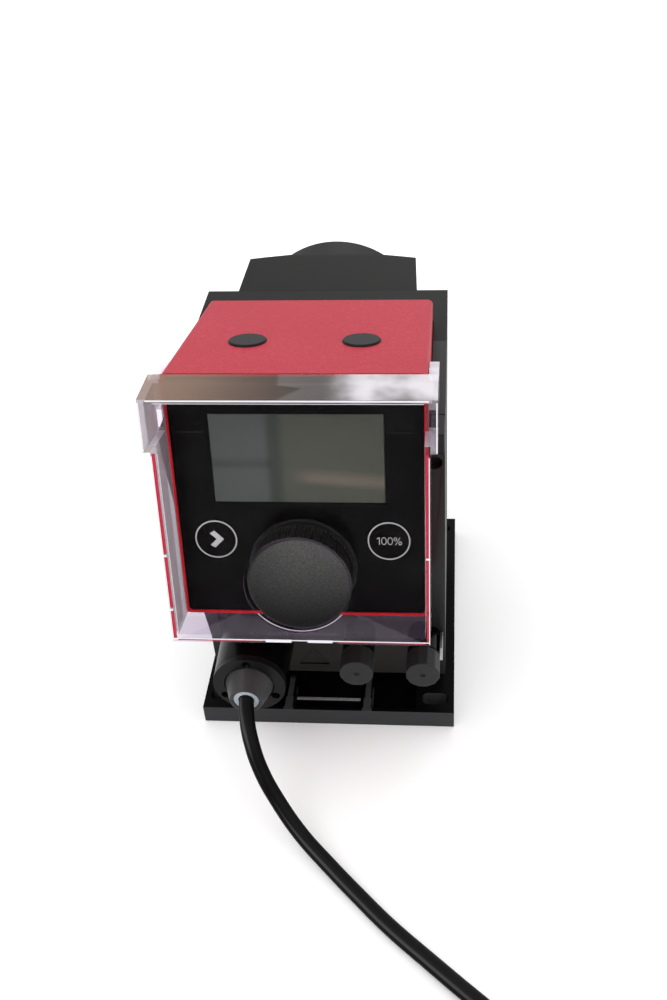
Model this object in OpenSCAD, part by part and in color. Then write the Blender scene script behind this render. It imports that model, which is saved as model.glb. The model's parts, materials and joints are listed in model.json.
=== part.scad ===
// Peristaltic dosing pump with a tilted control cube, on a slotted mounting plate.
// +X is to the viewer's right, -Y is the front with the control panel, +Z is up.
// The origin is the centre of the mounting plate's underside. Millimetres.

/* [Mounting plate] */
// Width of the mounting plate
plate_w = 120.5; // [100:0.5:160]
// Length of the mounting plate, front to back
plate_l = 142.5; // [120:0.5:190]
// Thickness of the mounting plate
plate_t = 10; // [8:0.5:16]
// Fixing slot, end to end
slot_l = 12.7; // [8:0.1:18]
// Fixing slot, width
slot_w = 6.8; // [4.5:0.1:9]
// Slot centre to the plate's side edge
slot_edge_x = 9.2; // [8:0.1:16]
// Slot centre to the plate's front or rear edge
slot_edge_y = 8.5; // [6:0.1:14]
// Distance between the two guide ribs
rib_pitch = 37.6; // [30:0.1:50]
// Thickness of a guide rib
rib_w = 2.7; // [2:0.1:4]

/* [Housing] */
// Height of the pump housing
housing_h = 158.4; // [140:0.1:200]
// Length of the pump housing, front face to rear face
housing_l = 92; // [84:0.1:120]
// Housing front face behind the plate's front edge
setback = 20; // [10:0.1:30]
// Wall of the black housings
wall = 3; // [2:0.1:4]
// Thickness of the cheeks beside the control cube
cheek_t = 6; // [5:0.1:9]
// Gap between the plate and the housing's underside
foot_h = 5; // [4:0.1:8]

/* [Control cube] */
// Width of the control cube
cube_w = 99; // [90:0.1:125]
// Height of the control cube
cube_h = 103.9; // [96:0.1:130]
// Depth of the control cube
cube_d = 92.5; // [84:0.1:115]
// Backward tilt of the control cube
cube_tilt = 12.4; // [8:0.1:16]
// Wall of the red shell
cube_wall = 2.6; // [2:0.1:4]
// Width of the display window
display_w = 66.4; // [50:0.1:76]
// Height of the display window
display_h = 37; // [28:0.1:44]
// Diameter of a key
key_d = 17.2; // [12:0.1:18]
// Diameter of the control knob
knob_d = 40.8; // [34:0.1:44]
// Height of the knob's face above the panel
knob_h = 13.7; // [11:0.1:15]
// Depth of the clear cover in front of the panel
cover_d = 19.2; // [18:0.1:26]
// Wall of the clear cover
cover_wall = 2; // [1.5:0.1:3]

/* [Drive and pump head] */
// Depth of the drive cover behind the housing
drive_l = 28.7; // [27:0.1:40]
// Width of the drive cover
drive_w = 83.3; // [76:0.1:100]
// Radius of the round pump head
head_r = 40.7; // [38:0.1:50]
// Depth of the pump head casing
head_l = 16; // [15:0.1:22]
// Height of the rotor axis above the housing's underside
head_up = 119.3; // [100:0.1:130]
// Radius of the race that the tube lies against
race_r = 33; // [30:0.1:36]
// Outer diameter of the pump tube
tube_d = 8; // [6:0.1:9]
// Wall of the pump tube
tube_wall = 1.6; // [1:0.1:2]
// Diameter of a roller
roller_d = 12; // [9:0.1:13]
// Diameter of the drive shaft
shaft_d = 8; // [6:0.1:9]
// Teeth on the drive gear
gear_teeth = 72; // [66:1:75]
// Teeth on the motor pinion
pinion_teeth = 18; // [17:1:20]
// Gear module
gear_m = 0.8; // [0.7:0.05:0.85]

/* [Sockets and mains lead] */
// Outer diameter of the gland ring
gland_d = 32.8; // [28:0.1:38]
// Length of the gland boss in front of the housing
gland_l = 35; // [28:0.1:40]
// Diameter of the protective caps across their corners
cap_d = 15.6; // [14:0.1:18]
// Height of the gland and socket axis above the housing's underside
socket_up = 28.7; // [24:0.1:34]
// Diameter of the mains lead
cord_d = 6.8; // [6:0.1:8]

/* [Hidden] */
$fn = 64;
eps = 0.01;

// Clearances
seat_gap = 0.3;        // cube to cheeks and recess
running = 0.05;        // radial clearance of a running fit
slip = 0.2;            // radial clearance of a part that slips in

// Housing places
front_y = -plate_l / 2;
face_y = front_y + setback;
split_y = face_y + housing_l / 2 + 0.9;
rear_y = face_y + housing_l;
under_z = plate_t + foot_h;
top_z = under_z + housing_h;
housing_w = cube_w + 2 * (cheek_t + seat_gap);
inner_w = housing_w - 2 * cheek_t;

// The cube rests on its lower rear edge, which lies here
seat_y = split_y - 3.6;
seat_z = top_z - 91.9;

// Drive and head places
drive_y = rear_y + drive_l;
bulge = 4;
head_y = drive_y + bulge - 1;
head_end = head_y + head_l;
axis_z = under_z + head_up;
floor_t = 3;
gear_centre = gear_m * (gear_teeth + pinion_teeth) / 2;
motor_z = axis_z - gear_centre;
motor_w = 42.3;
motor_l = 33;
gear_y = rear_y + 8;
gear_face = 6;
bearing_d = 2 * shaft_d;
bearing_t = 5;
bore_clear = 0.3;

// Rotor and tube
squeezed = 2 * tube_wall;
tube_gap = 0.1;
roller_gap = 0.3;
band_in = race_r - tube_gap - squeezed;
roller_orbit = band_in - roller_gap - roller_d / 2;
roller_bore = 3;
disc_t = 1.5;
roller_l = head_l - floor_t - 2 * disc_t - 2.4;
rotor_y = head_y + floor_t + 0.6;
roller_y = rotor_y + disc_t + 0.4;
leg_x = race_r - tube_d / 2 - tube_gap - 0.2;
leg_drop = 16;
foot_drop = race_r + 13;
cavity_drop = foot_drop - floor_t;
barb_l = 14;
hinge_x = -head_r - 3.4;
hinge_y = head_end - 4.5;
screw_x = head_r - 4;
screw_z = axis_z - 24;

// Panel layout, measured from the panel's top edge
rim = 1.3;
panel_t = 2;
display_down = 16.2;
key_x = 34.2;
key_down = 69.6;
knob_down = 81.5;
plug_d = 15.7;
plug_x = 22.7;
plug_back = 36.5;
key_t = 3;
board_y = 12.5;        // front of the main board, behind the panel's face

// Clear cover
ear_out = 4;
ear_gap = 0.35;
ear_down = 23.5;
pin_back = 18;
pin_down = 6;
pin_r = 1.5;
ear_mid = 9.4;         // centre of the ear's rounded end, below the top edge
ear_r = 7;
cover_gap = 1.1;
lip = 1.2;             // cover's reach past the cube on each side and below
hole_r = knob_d / 2 + 0.4;

// Gland and sockets
socket_z = under_z + socket_up;
gland_x = -31.7;
cap_x = [16, 46];
cap_end = face_y - 27;
cap_l = 11;
cap_wall = 1.7;
thread_r = cap_d / 2 * cos(15) - cap_wall;
stub_r = 3.2;
gland_end = face_y - gland_l;
ring_t = 3;
cone_l = 9.2;
cone_r = 10.8;
tip_r = 7.4;

// Mains lead: where it leaves the gland, its way to the coil and from the coil to the plug
lead_points = [
  [-31.7, -94.6, 43.7], [-30.3, -103.6, 41.7], [-27.5, -112.7, 36.9], [-22.7, -121.2, 27.9],
  [-15, -129.4, 17.5], [-5.2, -139, 9.6], [8, -151, 5], [21, -163.4, 3.5], [35.1, -177, 3.5],
  [50.9, -190.3, 3.5], [68.3, -204.6, 3.5], [86, -218.5, 3.5], [95.5, -226.3, 3.5],
  [104.6, -234, 3.5]
];
coil_c = [75, -269.3];
coil_in = 24.2;
coil_out = 49.6;
coil_h = 13.8;
tail_points = [[75, -315.4, 10.3], [62.5, -315.5, 9.4], [50, -314.9, 10.8], [38.5, -313.6, 13.9]];
plug_axis = [38.5, -313.6, 14];

// ------------------------------------------------------------------ helpers
module at_cube() {
  translate([0, seat_y, seat_z]) rotate([-cube_tilt, 0, 0]) children();
}

// Origin on the panel's top edge, +Y into the cube, +Z up along the panel
module at_panel() {
  at_cube() translate([0, -cube_d, cube_h]) children();
}

// The cube's outer box, grown by c on every side
module cube_envelope(c) {
  at_cube() translate([-cube_w / 2 - c, -cube_d - 60, -c]) cube([cube_w + 2 * c, cube_d + 60 + c, cube_h + 80]);
}

// A box given by its low and high corners
module span(a, b) {
  translate(a) cube(b - a);
}

// A cylinder of length l along +Y that starts at the origin
module along_y(r, l) {
  rotate([-90, 0, 0]) cylinder(r = r, h = l);
}

module ring_y(r_out, r_in, l) {
  difference() {
    along_y(r_out, l);
    translate([0, -1, 0]) along_y(r_in, l + 2);
  }
}

// A cylinder of length l along +X, centred on the origin
module along_x(r, l) {
  rotate([0, 90, 0]) cylinder(r = r, h = l, center = true);
}

module rounded_rect(w, h, r) {
  square([w - 2 * r, h], center = true);
  square([w, h - 2 * r], center = true);
  for (x = [-1, 1], y = [-1, 1]) translate([x * (w / 2 - r), y * (h / 2 - r)]) circle(r = r);
}

module slot2d(l, w) {
  hull_l = l - w;
  square([hull_l, w], center = true);
  for (s = [-1, 1]) translate([s * hull_l / 2, 0]) circle(d = w);
}

// Involute gear outline: the half tooth angle shrinks as the radius grows
function inv(a) = tan(a) * 180 / PI - a;
function flank_angle(teeth, m, r) =
  let (rp = m * teeth / 2, rb = rp * cos(20), a = r <= rb ? 0 : acos(rb / r))
  90 / teeth + inv(20) - inv(a) - 0.06 * m / rp * 180 / PI;
function polar(r, a) = [r * cos(a), r * sin(a)];
module gear2d(teeth, m) {
  tip = m * (teeth / 2 + 1);
  root = m * (teeth / 2 - 1.25);
  start = max(root, m * teeth / 2 * cos(20));
  radii = [root, for (i = [0:3]) start + (tip - start) * i / 3];
  polygon([for (t = [0:teeth - 1])
    each concat(
      [for (r = radii) polar(r, 360 * t / teeth - flank_angle(teeth, m, r))],
      [for (i = [4:-1:0]) polar(radii[i], 360 * t / teeth + flank_angle(teeth, m, radii[i]))])]);
}

// Smooth curve through a list of points
function spline(p, i, t) =
  let (n = len(p) - 1, a = p[max(i - 1, 0)], b = p[i], c = p[i + 1], d = p[min(i + 2, n)])
  0.5 * (2 * b + (c - a) * t + (2 * a - 5 * b + 4 * c - d) * t * t + (3 * b - a - 3 * c + d) * t * t * t);
function smooth(p, per) = [
  for (i = [0:len(p) - 2], k = [0:per - 1]) spline(p, i, k / per), p[len(p) - 1]];
function unit(v) = v / norm(v);

// A round tube swept along a smooth curve
module sweep(points, d, per, sides = 10) {
  c = smooth(points, per);
  n = len(c);
  rings = [for (i = [0:n - 1])
    let (t = unit(c[min(i + 1, n - 1)] - c[max(i - 1, 0)]), u = unit(cross(t, [0, 0, 1])), v = cross(u, t))
    for (k = [0:sides - 1]) c[i] + d / 2 * (u * cos(360 * k / sides) + v * sin(360 * k / sides))];
  walls = [for (i = [0:n - 2], k = [0:sides - 1])
    let (a = i * sides + k, b = i * sides + (k + 1) % sides)
    each [[a, b, b + sides], [a, b + sides, a + sides]]];
  near = [for (k = [sides - 1:-1:0]) k];
  far = [for (k = [0:sides - 1]) (n - 1) * sides + k];
  polyhedron(rings, concat(walls, [near, far]));
}

// ------------------------------------------------------------------ mounting plate
module slots() {
  for (x = [-1, 1], y = [-1, 1])
    translate([x * (plate_w / 2 - slot_edge_x), y * (plate_l / 2 - slot_edge_y), -1])
      linear_extrude(plate_t + 2) slot2d(slot_l, slot_w);
}

pocket_x = [-38, 42];
pocket_l = 46;
pocket_floor = 3;
rim_t = 2;
module mounting_plate() {
  color([0.12, 0.12, 0.125]) {
    difference() {
      span([-plate_w / 2, front_y, 0], [plate_w / 2, -front_y, plate_t]);
      span([pocket_x[0], front_y + rim_t, pocket_floor], [pocket_x[1], front_y + pocket_l, plate_t + 1]);
      slots();
    }
    for (s = [-1, 1]) {
      translate([s * rib_pitch / 2, 0, 0])
        span([-rib_w / 2, front_y + rim_t - eps, pocket_floor - eps], [rib_w / 2, front_y + pocket_l + eps, plate_t]);
      translate([s * rib_pitch / 2, 0, 0])
        span([-rib_w * 0.7, front_y + rim_t - eps, pocket_floor - eps], [rib_w * 0.7, front_y + rim_t + 6, plate_t]);
    }
  }
}

// Spring tongue between the ribs that the pump's foot snaps over
module latch_bar() {
  half = rib_pitch / 2 - rib_w * 0.7 - 1.5;
  color([0.42, 0.42, 0.43]) {
    span([-half, front_y + 6.5, plate_t - 3], [half, front_y + 8, plate_t]);
    span([-half, front_y + 6.5, pocket_floor], [half, front_y + 34, pocket_floor + 1.6]);
    span([-half, front_y + 6.5, pocket_floor], [half, front_y + 8, plate_t - 2]);
  }
}

// ------------------------------------------------------------------ pump housing
module base_cover() {
  color([0.1, 0.1, 0.105]) {
    span([-inner_w / 2 + 4, face_y + 4, plate_t + 2], [inner_w / 2 - 4, rear_y - 4, under_z]);
    for (s = [-1, 1])
      translate([s * (inner_w / 2 - 12), 0, 0])
        span([-6, front_y + pocket_l + 2, plate_t], [6, rear_y - 8, plate_t + 2 + eps]);
  }
}

// The cube's lower rear edge, grown by g, and the height of its rear face above y
function corner(g) = [
  seat_y + g * cos(cube_tilt) - g * sin(cube_tilt), seat_z - g * sin(cube_tilt) - g * cos(cube_tilt)];
function back_z(y, g) = corner(g)[1] + (y - corner(g)[0]) / tan(cube_tilt);
function back_y(z, g) = corner(g)[0] + (z - corner(g)[1]) * tan(cube_tilt);

// Side outline of the space in front of and below the cube, at distance g from the cube
module foot_side(y0, y1, z0, g) {
  front_z = corner(g)[1] + (corner(g)[0] - y0) * tan(cube_tilt);
  polygon([[y0, z0], [y0, front_z], corner(g), [y1, back_z(y1, g)], [y1, z0]]);
}

// Side outline of the space behind the cube, at distance g from the cube
module back_side(y0, y1, z0, z1, g) {
  polygon([[y0, z0], [y0, back_z(y0, g)], [back_y(z1, g), z1], [y1, z1], [y1, z0]]);
}

module front_housing() {
  in_x = inner_w / 2;
  color([0.16, 0.165, 0.17]) difference() {
    translate([-in_x, 0, 0]) rotate([90, 0, 90]) linear_extrude(2 * in_x)
      foot_side(face_y, split_y, under_z, seat_gap);
    translate([-in_x + wall, 0, 0]) rotate([90, 0, 90]) linear_extrude(2 * (in_x - wall))
      foot_side(face_y + wall, split_y + 1, under_z - 1, seat_gap + wall);
    for (x = [gland_x, cap_x[0], cap_x[1]])
      translate([x, face_y - 1, socket_z]) along_y(x == gland_x ? 9 : stub_r + 0.2, wall + 2);
    // moulded triangle
    translate([-7.2, face_y + 0.8, under_z + 5.2]) rotate([90, 0, 0])
      linear_extrude(2) polygon([[-7.5, 0], [7.5, 0], [0, 11.8]]);
  }
}

module rear_housing() {
  hw = housing_w / 2;
  color([0.16, 0.165, 0.17]) difference() {
    span([-hw, split_y + 0.1, under_z], [hw, rear_y, top_z]);
    cube_envelope(seat_gap);
    translate([-hw + wall, 0, 0]) rotate([90, 0, 90]) linear_extrude(2 * (hw - wall))
      back_side(split_y - 0.9, rear_y - wall, under_z - 1, top_z - wall, seat_gap + wall);
    translate([0, rear_y - wall - 1, motor_z]) along_y(11.2, wall + 2);
    translate([0, rear_y - wall - 1, axis_z]) along_y(shaft_d / 2 + 1, wall + 2);
    for (x = [-1, 1], z = [under_z + 12, top_z - 12])
      translate([x * (housing_w / 2 - 8), rear_y - wall - 1, z]) along_y(1.6, wall + 2);
  }
}

// Side cheek: its front edge leans forward above the foot
module cheek(side) {
  profile = [
    [face_y, under_z], [face_y, under_z + 23], [face_y - 9, seat_z - 5.5], [face_y - 22, top_z - 8],
    [face_y - 22, top_z], [split_y, top_z], [split_y, under_z]];
  x0 = side > 0 ? inner_w / 2 + eps : -housing_w / 2;
  color([0.17, 0.175, 0.18]) difference() {
    translate([x0, 0, 0]) rotate([90, 0, 90]) linear_extrude(cheek_t - eps) polygon(profile);
    // seats of the clip and of the round lock
    span([-housing_w / 2 - 1, face_y - 22.5, top_z - 9], [housing_w / 2 + 1, face_y - 8, top_z + 1]);
    translate([side * (inner_w / 2 + 1.4), face_y - 23, top_z - 14]) along_y(3.6, 6);
    // room for the right-hand signal socket
    if (side > 0) translate([cap_x[1], face_y - 12, socket_z]) along_y(cap_d / 2, 12.1);
  }
}
module cheek_left() { cheek(-1); }
module cheek_right() { cheek(1); }

// Clips in the cheeks' front corners that hold the cube down
module cube_clips() {
  color([0.19, 0.195, 0.2]) for (s = [-1, 1])
    translate([s * (housing_w + inner_w) / 4, 0, 0])
      span([-cheek_t / 2 + 0.15, face_y - 22, top_z - 8.8], [cheek_t / 2 - 0.15, face_y - 8.2, top_z]);
}

module housing_screws() {
  color([0.55, 0.55, 0.57]) for (x = [-1, 1], z = [under_z + 12, top_z - 12])
    translate([x * (housing_w / 2 - 8), rear_y, z]) {
      along_y(3.5, 2.2);
      translate([0, -wall, 0]) along_y(1.5, wall + 1);
    }
}

// ------------------------------------------------------------------ drive
module drive_outline(inset) {
  polygon([
    [-drive_w / 2 + inset, rear_y - (inset > 0 ? 1 : 0)], [drive_w / 2 - inset, rear_y - (inset > 0 ? 1 : 0)],
    [drive_w / 2 - 1.4 - inset, drive_y - inset], [drive_w / 4, drive_y + bulge - inset],
    [-drive_w / 4, drive_y + bulge - inset], [-drive_w / 2 + 1.4 + inset, drive_y - inset]]);
}

drive_z0 = under_z + 41;
module drive_cover() {
  color([0.14, 0.14, 0.15]) difference() {
    translate([0, 0.1, drive_z0]) linear_extrude(top_z + 2 - drive_z0) drive_outline(0);
    translate([0, 0, drive_z0 + wall]) linear_extrude(top_z - 2 * wall - drive_z0) drive_outline(wall);
    translate([0, rear_y, top_z]) rotate([3.8, 0, 0]) translate([-drive_w, -5, 0]) cube([2 * drive_w, 60, 20]);
    translate([0, drive_y - 1, axis_z]) along_y(bearing_d / 2 + 1, bulge + 2);
    // cut back where the head casing sits
    translate([0, head_y - 0.05, axis_z]) along_y(head_r + 0.1, head_l);
    span([-head_r - 0.1, head_y - 0.05, axis_z - foot_drop], [head_r + 0.1, head_y + 9, axis_z]);
  }
}

module motor() {
  y0 = rear_y - wall - motor_l - 0.1;
  color([0.35, 0.36, 0.38]) difference() {
    translate([0, y0, motor_z]) {
      rotate([-90, 0, 0]) linear_extrude(motor_l) rounded_rect(motor_w, motor_w, 4);
      translate([0, motor_l, 0]) along_y(11, 2);
    }
    translate([0, y0 + 4, motor_z]) along_y(2.5 + running, motor_l);
  }
}

module gear_plate() {
  color([0.7, 0.71, 0.73]) difference() {
    span([-33, rear_y + 0.1, motor_z - 22], [33, rear_y + bearing_t - 0.4, axis_z + 24]);
    translate([0, rear_y - 1, axis_z]) along_y(bearing_d / 2, 20);
    translate([0, rear_y - 1, motor_z]) along_y(11.4, 20);
    for (x = [-27, 27], z = [motor_z - 16, axis_z + 18]) translate([x, rear_y - 1, z]) along_y(2.2, 20);
  }
}

// Two ball bearings: outer ring, inner ring and balls are drawn as one sealed unit each
module shaft_bearings() {
  color([0.78, 0.79, 0.8]) for (y = [rear_y + 0.1, head_y - bearing_t + floor_t - 0.2])
    translate([0, y, axis_z]) ring_y(bearing_d / 2 - 0.02, shaft_d / 2 + running, bearing_t - 0.6);
}

module motor_pinion() {
  y0 = rear_y - wall - motor_l - 0.1;
  color([0.72, 0.6, 0.3]) {
    translate([0, gear_y - 0.5, motor_z]) rotate([-90, 0, 0]) rotate([0, 0, 90 + 180 / pinion_teeth])
      linear_extrude(gear_face + 1) gear2d(pinion_teeth, gear_m);
    translate([0, y0 + 5, motor_z]) along_y(2.5, gear_y + gear_face - y0 - 4);
  }
}

module drive_gear() {
  color([0.9, 0.88, 0.82]) difference() {
    translate([0, gear_y, axis_z]) rotate([-90, 0, 0]) rotate([0, 0, 90])
      union() {
        linear_extrude(gear_face) gear2d(gear_teeth, gear_m);
        cylinder(r = shaft_d, h = gear_face + 4);
      }
    translate([0, gear_y - 1, axis_z]) along_y(shaft_d / 2, gear_face + 8);
    for (a = [0:60:300])
      translate([17 * cos(a), gear_y - 1, axis_z + 17 * sin(a)]) along_y(4.5, gear_face + 2);
  }
}

module drive_shaft() {
  color([0.75, 0.76, 0.78])
    translate([0, rear_y - wall + 0.2, axis_z]) along_y(shaft_d / 2, head_end - rear_y + wall - 0.8);
}

// ------------------------------------------------------------------ pump head
module head_outline(r, drop) {
  circle(r = r);
  translate([-r, -drop]) square([2 * r, drop]);
}

// Drawn in the X-Z plane and extruded along +Y
module head_extrude(y, l) {
  translate([0, y + l, axis_z]) rotate([90, 0, 0]) linear_extrude(l) children();
}

module head_casing() {
  color([0.13, 0.13, 0.135]) difference() {
    union() {
      head_extrude(head_y, head_l) head_outline(head_r, foot_drop);
      translate([0, head_y - bearing_t + 1, axis_z]) along_y(bearing_d / 2 + 0.8, bearing_t);
      // hinge knuckle of the lid
      translate([hinge_x, hinge_y, axis_z - 30]) cylinder(r = 3, h = 12);
      span([hinge_x, hinge_y - 3, axis_z - 30], [-head_r + 1, hinge_y, axis_z - 18]);
    }
    head_extrude(head_y + floor_t, head_l) head_outline(race_r, cavity_drop);
    translate([0, head_y - bearing_t, axis_z]) along_y(bearing_d / 2, bearing_t + floor_t - 0.8);
    translate([0, head_y - bearing_t, axis_z]) along_y(shaft_d / 2 + 1, bearing_t + 9);
    for (s = [-1, 1])
      translate([s * leg_x, head_y + floor_t + tube_d / 2 + 0.9, axis_z - foot_drop - 1])
        cylinder(r = 4, h = floor_t + 2);
    translate([hinge_x, hinge_y, axis_z - 31]) cylinder(r = 1.5, h = 14);
    translate([screw_x, head_end - 9, screw_z]) along_y(2.2, 10);
  }
}

// Lid that swings open on the left, with a domed middle
module head_cover() {
  t = 3;
  color([0.2, 0.2, 0.21]) difference() {
    union() {
      head_extrude(head_end + 0.15, t) intersection() {
        head_outline(head_r - 1.6, foot_drop - 2);
        translate([-60, -60]) square([120, 160]);
      }
      translate([0, head_end + t, axis_z]) rotate([-90, 0, 0])
        cylinder(r1 = 31, r2 = 25, h = 4.5);
      for (z = [axis_z - 37.5, axis_z - 17.5]) {
        translate([hinge_x, hinge_y, z]) cylinder(r = 3, h = 7);
        span([hinge_x - 3, hinge_y, z], [hinge_x - 0.6, head_end + t + 0.15, z + 7]);
        span([hinge_x - 3, head_end + 0.6, z], [-head_r + 6, head_end + t + 0.15, z + 7]);
      }
    }
    translate([hinge_x, hinge_y, axis_z - 39]) cylinder(r = 1.5 + running, h = 32);
    translate([screw_x, head_end - 1, screw_z]) along_y(2 + running, 12);
  }
}

module head_hinge_pin() {
  color([0.75, 0.76, 0.78])
    translate([hinge_x, hinge_y, axis_z - 37.5]) cylinder(r = 1.5, h = 27);
}

// Captive knurled screw at the lid's free side: it turns in the lid
module cover_thumbscrew() {
  color([0.12, 0.12, 0.125]) translate([screw_x, 0, screw_z]) {
    translate([0, head_end + 3.4, 0]) difference() {
      along_y(5.4, 6);
      for (a = [0:45:315]) translate([6.3 * cos(a), -1, 6.3 * sin(a)]) along_y(1.4, 9);
    }
    translate([0, head_end + 0.3, 0]) along_y(2, 4);
  }
}

module roller_places() {
  for (i = [0:2]) rotate([0, 120 * i, 0]) translate([0, 0, roller_orbit]) children();
}

module rotor() {
  disc_r = roller_orbit + 3.4;
  color([0.85, 0.85, 0.83]) translate([0, 0, axis_z]) difference() {
    union() {
      translate([0, rotor_y, 0]) along_y(disc_r, disc_t);
      translate([0, roller_y + roller_l + 0.4, 0]) along_y(disc_r, disc_t);
      translate([0, rotor_y, 0]) along_y(shaft_d / 2 + 4, roller_l + 2 * disc_t + 0.8);
    }
    translate([0, rotor_y - 1, 0]) along_y(shaft_d / 2, head_l);
    roller_places() translate([0, rotor_y - 1, 0]) along_y(roller_bore / 2, head_l);
  }
}

module roller_pins() {
  color([0.75, 0.76, 0.78]) translate([0, 0, axis_z]) roller_places()
    translate([0, rotor_y + 0.1, 0]) along_y(roller_bore / 2, roller_l + 2 * disc_t + 0.6);
}

module roller(i) {
  color([0.93, 0.93, 0.9]) translate([0, 0, axis_z]) rotate([0, 120 * i, 0])
    translate([0, roller_y, roller_orbit]) ring_y(roller_d / 2, roller_bore / 2 + running, roller_l);
}
module roller_1() { roller(0); }
module roller_2() { roller(1); }
module roller_3() { roller(2); }

// The tube is flat where the rollers run, and round in the two legs that leave the head
module pump_tube() {
  mid_y = head_y + floor_t + tube_d / 2 + 0.9;
  band_w = 0.5 * PI * (tube_d - tube_wall) + tube_wall;
  y0 = head_y + floor_t + 0.1;
  color([0.93, 0.92, 0.86]) {
    head_extrude(y0, band_w - 1.2) difference() {
      head_outline(race_r - tube_gap, leg_drop + 1);
      head_outline(band_in, leg_drop + 3);
      translate([-60, -61 - leg_drop]) square([120, 60]);
    }
    for (s = [-1, 1]) difference() {
      translate([s * leg_x, mid_y, axis_z - cavity_drop + 2]) cylinder(d = tube_d, h = cavity_drop - leg_drop - 2);
      translate([s * leg_x, mid_y, axis_z - cavity_drop]) cylinder(r = tube_d / 2 - tube_wall + 0.05, h = 12);
    }
  }
}

module hose_connectors() {
  mid_y = head_y + floor_t + tube_d / 2 + 0.9;
  bore_r = 1.6;
  color([0.88, 0.88, 0.86]) for (s = [-1, 1]) translate([s * leg_x, mid_y, axis_z - foot_drop]) difference() {
    union() {
      translate([0, 0, -0.1 - 2.4]) cylinder(r = 6, h = 2.4);
      translate([0, 0, -0.2]) cylinder(r = 3.9, h = floor_t + 0.6);
      translate([0, 0, floor_t]) cylinder(r = tube_d / 2 - tube_wall, h = 9);
      translate([0, 0, -barb_l]) cylinder(r = 3.2, h = barb_l);
      for (k = [0:1]) translate([0, 0, -barb_l + 3 * k]) cylinder(r1 = 3.2, r2 = 3.9, h = 2.2);
    }
    translate([0, 0, -barb_l - 1]) cylinder(r = bore_r, h = barb_l + floor_t + 12);
  }
}

// ------------------------------------------------------------------ control cube
module cube_shell() {
  color([0.75, 0.12, 0.15]) {
    at_cube() difference() {
      translate([0, 0, cube_h / 2]) rotate([90, 0, 0]) linear_extrude(cube_d) rounded_rect(cube_w, cube_h, 2.2);
      translate([0, 1, cube_h / 2]) rotate([90, 0, 0])
        linear_extrude(cube_d - panel_t + 0.8) rounded_rect(cube_w - 2 * cube_wall, cube_h - 2 * cube_wall, 1.4);
      translate([0, -cube_d + panel_t + 0.3, cube_h / 2]) rotate([90, 0, 0])
        linear_extrude(panel_t + 2) rounded_rect(cube_w - 2 * rim, cube_h - 2 * rim, 1.6);
      for (s = [-1, 1]) translate([s * plug_x, -cube_d + plug_back, cube_h - cube_wall - 1])
        cylinder(d = plug_d - 1, h = cube_wall + 3);
      for (s = [-1, 1]) translate([s * plug_x, -cube_d + plug_back, -1]) cylinder(r = 2.2, h = cube_wall + 3);
      // pin holes of the clear cover
      translate([0, -cube_d + pin_back, cube_h - pin_down]) along_x(pin_r, cube_w + 20);
    }
  }
}

module cube_back() {
  color([0.11, 0.11, 0.115]) at_cube() {
    translate([0, -0.2, cube_h / 2]) rotate([90, 0, 0])
      linear_extrude(2.6) rounded_rect(cube_w - 2 * cube_wall - 0.4, cube_h - 2 * cube_wall - 0.4, 1.2);
    translate([0, -2.7, cube_h / 2]) rotate([90, 0, 0]) linear_extrude(4) difference() {
      rounded_rect(cube_w - 2 * cube_wall - 1, cube_h - 2 * cube_wall - 1, 1.2);
      rounded_rect(cube_w - 2 * cube_wall - 5, cube_h - 2 * cube_wall - 5, 1.2);
    }
    difference() {
      union() {
        for (s = [-1, 1]) translate([s * plug_x, -cube_d + plug_back, cube_wall + 0.1])
          cylinder(r = 4.5, h = cube_h - cube_wall - 16);
        span([-30, -cube_d + plug_back - 1.5, cube_wall + 0.1], [30, -cube_d + plug_back + 1.5, cube_wall + 8]);
      }
      for (s = [-1, 1]) translate([s * plug_x, -cube_d + plug_back, 0]) cylinder(r = 2.2, h = cube_h);
    }
    span([-4, -cube_d + plug_back + 1, cube_wall + 0.1], [4, -2.6, cube_wall + 4]);
  }
}

module front_panel() {
  h = cube_h - 2 * rim - 0.3;
  color([0.03, 0.03, 0.035]) at_panel() difference() {
    translate([0, panel_t + 0.2, -cube_h / 2]) rotate([90, 0, 0])
      linear_extrude(panel_t) rounded_rect(cube_w - 2 * rim - 0.3, h, 1.4);
    span([-display_w / 2, -1, -display_down - display_h], [display_w / 2, 5, -display_down]);
    for (s = [-1, 1]) translate([s * key_x, -1, -key_down]) along_y(key_d / 2 + slip, 8);
    translate([0, -1, -knob_down]) along_y(3 + 0.4, 8);
  }
}

module display_module() {
  color([0.42, 0.45, 0.42]) at_panel() {
    span([-display_w / 2 + 0.1, 0.5, -display_down - display_h + 0.1], [display_w / 2 - 0.1, 3, -display_down - 0.1]);
    span([-display_w / 2 - 4, 2.6, -display_down - display_h - 3], [display_w / 2 + 4, 7, -display_down + 3]);
  }
}

module key(x) {
  color([0.07, 0.07, 0.075]) at_panel() translate([x, 0.2, -key_down]) {
    along_y(key_d / 2, key_t);
    translate([0, key_t - eps, 0]) along_y(2, board_y - 3.2 - key_t);
  }
}
module key_left() { key(-key_x); }
module key_right() { key(key_x); }

module knob_seat() {
  color([0.05, 0.05, 0.055]) at_panel() translate([0, -1.3, -knob_down])
    ring_y(knob_d / 2 + 1.2, 3.4, 1.45);
}

module encoder() {
  color([0.2, 0.3, 0.22]) at_panel() difference() {
    translate([0, 2.5, -knob_down]) union() {
      span([-8, 0, -8], [8, 9, 8]);
      span([-12, 8, -12], [12, 9.6, 12]);
    }
    translate([0, 2, -knob_down]) along_y(3 + running, 7.5);
  }
}

module encoder_shaft() {
  color([0.75, 0.76, 0.78]) at_panel() translate([0, -knob_h + 3, -knob_down]) along_y(3, knob_h + 5.4);
}

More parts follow.
